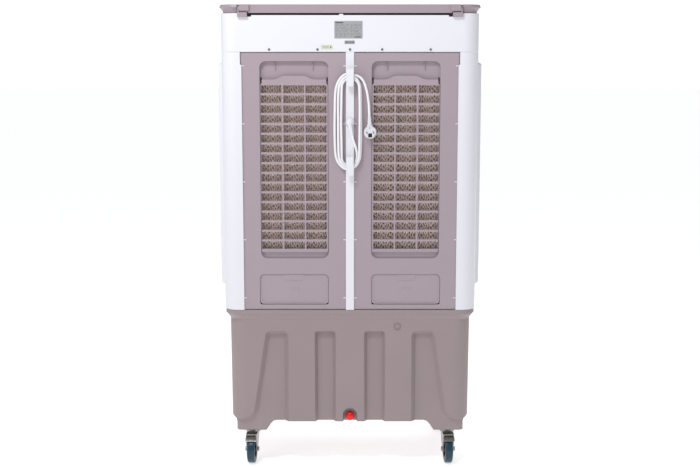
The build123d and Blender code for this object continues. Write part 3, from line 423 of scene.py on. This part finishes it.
# ---------------------------------------------------------------- cooling pads
def corrugated_sheets(name, across, depth, low, high, pitch, wave, steps, place, material, seed):
    """Upright sheets across a pad, each with slanted flutes that alternate from sheet to sheet."""
    chance = random.Random(seed)
    thickness, amplitude, per_wave = 0.0026, pitch * 0.36, 5
    rows = int((high - low) / wave * per_wave)
    vertices, faces = [], []
    count = int((across[1] - across[0] - 2 * amplitude) / pitch)
    for index in range(count + 1):
        middle = across[0] + amplitude + thickness + index * pitch
        slope = 0.75 if index % 2 else -0.6
        phase = chance.uniform(0, 2 * math.pi)
        start = len(vertices)
        for side in (-0.5, 0.5):
            for row in range(rows + 1):
                height = low + (high - low) * row / rows
                for step in range(steps + 1):
                    inward = depth * step / steps
                    angle = 2 * math.pi * (height + slope * inward) / wave + phase
                    jitter = chance.uniform(-0.0005, 0.0005)
                    offset = amplitude * math.sin(angle) + side * thickness + jitter
                    vertices.append(place(middle + offset, inward, height))
        width = steps + 1
        layer = (rows + 1) * width

        def at(face_side, row, step):
            return start + face_side * layer + row * width + step

        for row in range(rows):
            for step in range(steps):
                near, far = at(0, row, step), at(1, row, step)
                faces.append((near, near + width, near + width + 1, near + 1))
                faces.append((far, far + 1, far + width + 1, far + width))
            for step in (0, steps):
                rim = (at(0, row, step), at(1, row, step), at(1, row + 1, step), at(0, row + 1, step))
                faces.append(rim if step == 0 else rim[::-1])
        for step in range(steps):
            for row in (0, rows):
                rim = (at(0, row, step), at(0, row, step + 1), at(1, row, step + 1), at(1, row, step))
                faces.append(rim if row == 0 else rim[::-1])
    add_pad_piece(name, vertices, faces, material)


def add_pad_piece(name, vertices, faces, material):
    made = piece(name, vertices, faces, "cabinet", material, smooth=False)
    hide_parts("cooling_pads")


def pad_core(name, across, along, heights, material):
    """Bonded part of a pad behind its corrugated sheets, with a ribbed face both ways."""
    rib_pitch = 0.006
    rows = int((heights[1] - heights[0]) / rib_pitch)
    middle = [sum(span) / 2 for span in (across, along)]
    half = [(span[1] - span[0]) / 2 for span in (across, along)]
    vertices, faces = [], []
    for row in range(rows + 1):
        inset = 0.0012 if row % 2 else 0.0
        z = heights[0] + (heights[1] - heights[0]) * row / rows
        for right, back in ((-1, -1), (1, -1), (1, 1), (-1, 1)):
            x = middle[0] + right * (half[0] - inset)
            vertices.append((x, middle[1] + back * (half[1] - inset), z))
    for row in range(rows):
        for corner in range(4):
            after = (corner + 1) % 4
            low, high = 4 * row, 4 * row + 4
            faces.append((low + corner, low + after, high + after, high + corner))
    faces += [(3, 2, 1, 0), tuple(4 * rows + corner for corner in range(4))]
    add_pad_piece(name, vertices, faces, material)


def add_pads():
    """Rear and side pads of each hand: corrugated sheets at the open face, and a core behind them."""
    for index, (side, hand) in enumerate(((-1, "left"), (1, "right"))):
        def rear(along, inward, height, side=side):
            return side * along, PAD_REAR_FACE + inward, height

        def flank(along, inward, height, side=side):
            return side * (PAD_SIDE_FACE - inward), along, height

        corrugated_sheets(f"pad_rear_{hand}", across=(0.0285, 0.3115), depth=0.02, low=0.641, high=1.259,
                          pitch=0.0072, wave=0.0145, steps=4, place=rear, material=MATERIALS["pad_rear"],
                          seed=11 + index)
        corrugated_sheets(f"pad_side_{hand}", across=(-0.1315, 0.1315), depth=0.016, low=0.601, high=1.259,
                          pitch=0.0088, wave=0.0176, steps=1, place=flank, material=MATERIALS["pad_side"],
                          seed=21 + index)
        pad_core(f"pad_core_rear_{hand}", across=sorted((side * 0.028, side * 0.312)),
                 along=(-0.1945, -0.164), heights=(0.64, 1.26), material=MATERIALS["pad_rear"])
        pad_core(f"pad_core_side_{hand}", across=sorted((side * 0.334, side * 0.3625)),
                 along=(-0.132, 0.132), heights=(0.6, 1.26), material=MATERIALS["pad_side"])


# ---------------------------------------------------------------- wheels
def lathe(profile, segments=56):
    """Revolve a closed profile of (radius, along) points round the X axis."""
    vertices, faces = [], []
    count = len(profile)
    for step in range(segments):
        angle = 2 * math.pi * step / segments
        for radius, along in profile:
            vertices.append((along, radius * math.cos(angle), radius * math.sin(angle)))
    for step in range(segments):
        here, following = step * count, (step + 1) % segments * count
        for point in range(count):
            after = (point + 1) % count
            faces.append((here + point, here + after, following + after, following + point))
    return vertices, faces


def add_wheels():
    """Tread and hub on each caster's axle; the profiles are in millimetres."""
    tread = [(31.0, -11.6), (39.0, -12), (41.6, -11.3), (43.3, -9.6), (44, -7), (44, -2.6), (43.6, -2.2),
             (43.6, 2.2), (44, 2.6), (44, 7), (43.3, 9.6), (41.6, 11.3), (39.0, 12), (31.0, 11.6)]
    hub = [(4.2, -12.4), (9.6, -12.4), (10, -12), (10.4, -5.6), (25.4, -5), (26.2, -10.6), (27, -11),
           (31, -11), (31, 11), (27, 11), (26.2, 10.6), (25.4, 5), (10.4, 5.6), (10, 12), (9.6, 12.4),
           (4.2, 12.4)]
    for corner in CORNERS:
        place, hand = corner.split("_")
        side = -1 if hand == "left" else 1
        end = -1 if place == "rear" else 1
        yaw = math.radians(side * CASTER_YAW if end < 0 else 180 - side * CASTER_YAW)
        centre = Matrix.Translation((side * SWIVEL[0], end * SWIVEL[1], 0)) @ Matrix.Rotation(yaw, 4, "Z")
        centre = centre @ Matrix.Translation((0, -WHEEL_TRAIL, WHEEL_RADIUS))
        for name, profile in (("tread", tread), ("hub", hub)):
            vertices, faces = lathe([(radius / 1000, along / 1000) for radius, along in profile])
            vertices = [centre @ Vector(vertex) for vertex in vertices]
            wheel = f"wheel_{corner}"
            made = piece(f"{name}_{corner}", vertices, faces, wheel, MATERIALS[name])
            made.data.set_sharp_from_angle(angle=math.radians(35))
            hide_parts(wheel)


# ---------------------------------------------------------------- small plates: labels, marks, plug face
def bars(name, boxes, material, turn=None):
    """One object of thin boxes, each ((x, z) centre, (width, height), (near y, far y))."""
    vertices, faces = [], []
    for (x, z), (width, height), (near, far) in boxes:
        start = len(vertices)
        for y in (near, far):
            for right, up in ((-1, -1), (1, -1), (1, 1), (-1, 1)):
                vertices.append(Vector((x + right * width / 2, y, z + up * height / 2)))
        box_faces = ((0, 1, 2, 3), (4, 7, 6, 5), (0, 4, 5, 1), (1, 5, 6, 2), (2, 6, 7, 3), (3, 7, 4, 0))
        faces += [tuple(start + corner for corner in face) for face in box_faces]
    if turn:
        vertices = [turn @ vertex for vertex in vertices]
    return piece(name, vertices, faces, "cabinet", material, smooth=False)


def add_label_print():
    """Rows of plain bars where a rating plate, a bar sticker and a notice carry their printing."""
    near, far = REAR_FACE - 0.00058, REAR_FACE - 0.0004
    rng = random.Random(5)
    printed = [((-0.0315, 1.3672), (0.023, 0.0036), (near, far)),
               ((0.0225, 1.3252), (0.019, 0.0024), (near, far))]
    for row in range(9):
        z = 1.3622 - row * 0.0043
        for left, right in ((-0.043, -0.004), (0.001, 0.033)):
            x = left
            while x < right - 0.004:
                width = min(rng.uniform(0.004, 0.013), right - x)
                printed.append(((x + width / 2, z), (width, 0.0008), (near, far)))
                x += width + rng.uniform(0.002, 0.006)
    for index in range(12):
        x = -0.0135 + index * 0.0022
        printed.append(((x, 1.310), (0.0006 + 0.0007 * rng.random(), 0.0072), (near, far)))
    bars("label_print", printed, MATERIALS["print"])
    notice = [((-0.0685, 1.296), (0.0318, 0.0108), (REAR_FACE - 0.00056, REAR_FACE - 0.0004))]
    bars("notice_face", notice, MATERIALS["notice"])
    depth = (REAR_FACE - 0.00064, REAR_FACE - 0.0005)
    lines = [((-0.0705, 1.2985), (0.022, 0.0008), depth), ((-0.0725, 1.2962), (0.017, 0.0007), depth),
             ((-0.0715, 1.2938), (0.019, 0.0007), depth), ((-0.0570, 1.2955), (0.0042, 0.0042), depth)]
    bars("notice_print", lines, MATERIALS["print"])


def add_marks():
    """Ticks round the knobs on the control panel, and the level marks on the tank's window."""
    for index in range(3):
        centre = Vector((-KNOB_STEP + KNOB_STEP * index, 0, KNOB_Z))
        vertices, faces = [], []
        for tick in range(10):
            angle = math.radians(30 * tick - 45)
            outward = Vector((math.cos(angle), 0, math.sin(angle)))
            aside = Vector((-outward.z, 0, outward.x))
            start = len(vertices)
            for y in (0.2462, 0.24635):
                for reach in (0.0285, 0.0315):
                    for half in (-0.0005, 0.0005):
                        point = centre + outward * reach + aside * half
                        vertices.append((point.x, y, point.z))
            tick_faces = ((0, 2, 3, 1), (4, 5, 7, 6), (0, 1, 5, 4), (2, 6, 7, 3), (0, 4, 6, 2), (1, 3, 7, 5))
            faces += [tuple(start + corner for corner in face) for face in tick_faces]
        piece(f"dial_ticks_{index + 1}", vertices, faces, "cabinet", MATERIALS["marks"],
              smooth=False)
    ticks = [((0.0, 0.27 + 0.0195 * step), (0.009 if step % 2 else 0.013, 0.0008), (0.22895, 0.22908))
             for step in range(8)]
    bars("level_marks", ticks, MATERIALS["print"])


def add_plug_details():
    """Earth socket in the plug's face as a near-black box, painted shade inside its hole, and dark bars above
    it, painted shade in a small vent.
    """
    turn = Matrix.Translation(PLUG_CENTRE) @ Matrix.Rotation(math.radians(-PLUG_ROLL), 4, "Y")
    # Near-black box in the earth hole: painted shade inside the hole
    socket = bars("plug_socket", [((0, -0.0087), (0.0114, 0.0114), (-0.2622, -0.2485))],
                  MATERIALS["socket_shade"], turn)
    # Dark bars over the small vent: painted shade in its opening
    vent = bars("plug_vent", [((-0.0006, 0.0125), (0.0032, 0.0022), (-0.26318, -0.2625)),
                              ((-0.0006, 0.0140), (0.0018, 0.0014), (-0.26318, -0.2625))],
                MATERIALS["print"], turn)
    return [socket, vent]


MATERIALS = make_materials()
add_camera()
add_lights()
add_floor(MATERIALS["floor"])
cord = add_cord(MATERIALS["cord"])
plug_details = add_plug_details()
add_pads()
add_wheels()
add_label_print()
add_marks()

# ---------------------------------------------------------------- finishes of the CAD nodes
for hand in SIDES:
    paint(MATERIALS["taupe"], f"rear_panel_{hand}", f"rear_grille_{hand}", f"fill_flap_{hand}")
paint(MATERIALS["taupe_top_shaded"], "top_frame", "top_lid", "lid_hinge_brackets", "tank_deck")
paint(MATERIALS["tank"], "tank")
paint(MATERIALS["white"], "centre_post", "rear_post_left", "rear_post_right", "front_panel", "upper_housing",
      "side_panel_left", "side_panel_right", "ice_basin", "outlet_grille", "water_distributor",
      *[f"vane_{index}" for index in range(1, 6)])
paint(MATERIALS["white_fittings"], "cord_fittings", "plug", "panel_clips")
paint(MATERIALS["dark"], "fan", "fan_shroud", "pump", "knob_1", "knob_2", "knob_3")
paint(MATERIALS["black"], "control_panel")
paint(MATERIALS["motor"], "motor", "motor_bracket")
paint(MATERIALS["red"], "drain_plug")
paint(MATERIALS["hose"], "riser_hose")
paint(MATERIALS["seal"], "lid_seal")
paint(MATERIALS["zinc"], "caster_plates", "lid_hinge_pins", "plug_pins",
      *[f"fork_{corner}" for corner in CORNERS])
paint(MATERIALS["screw"], "housing_screws")
paint(MATERIALS["pedal"], *[f"brake_pedal_{side}" for side in SIDES])
paint(MATERIALS["window"], "level_window")
paint(MATERIALS["foil"], "labels")
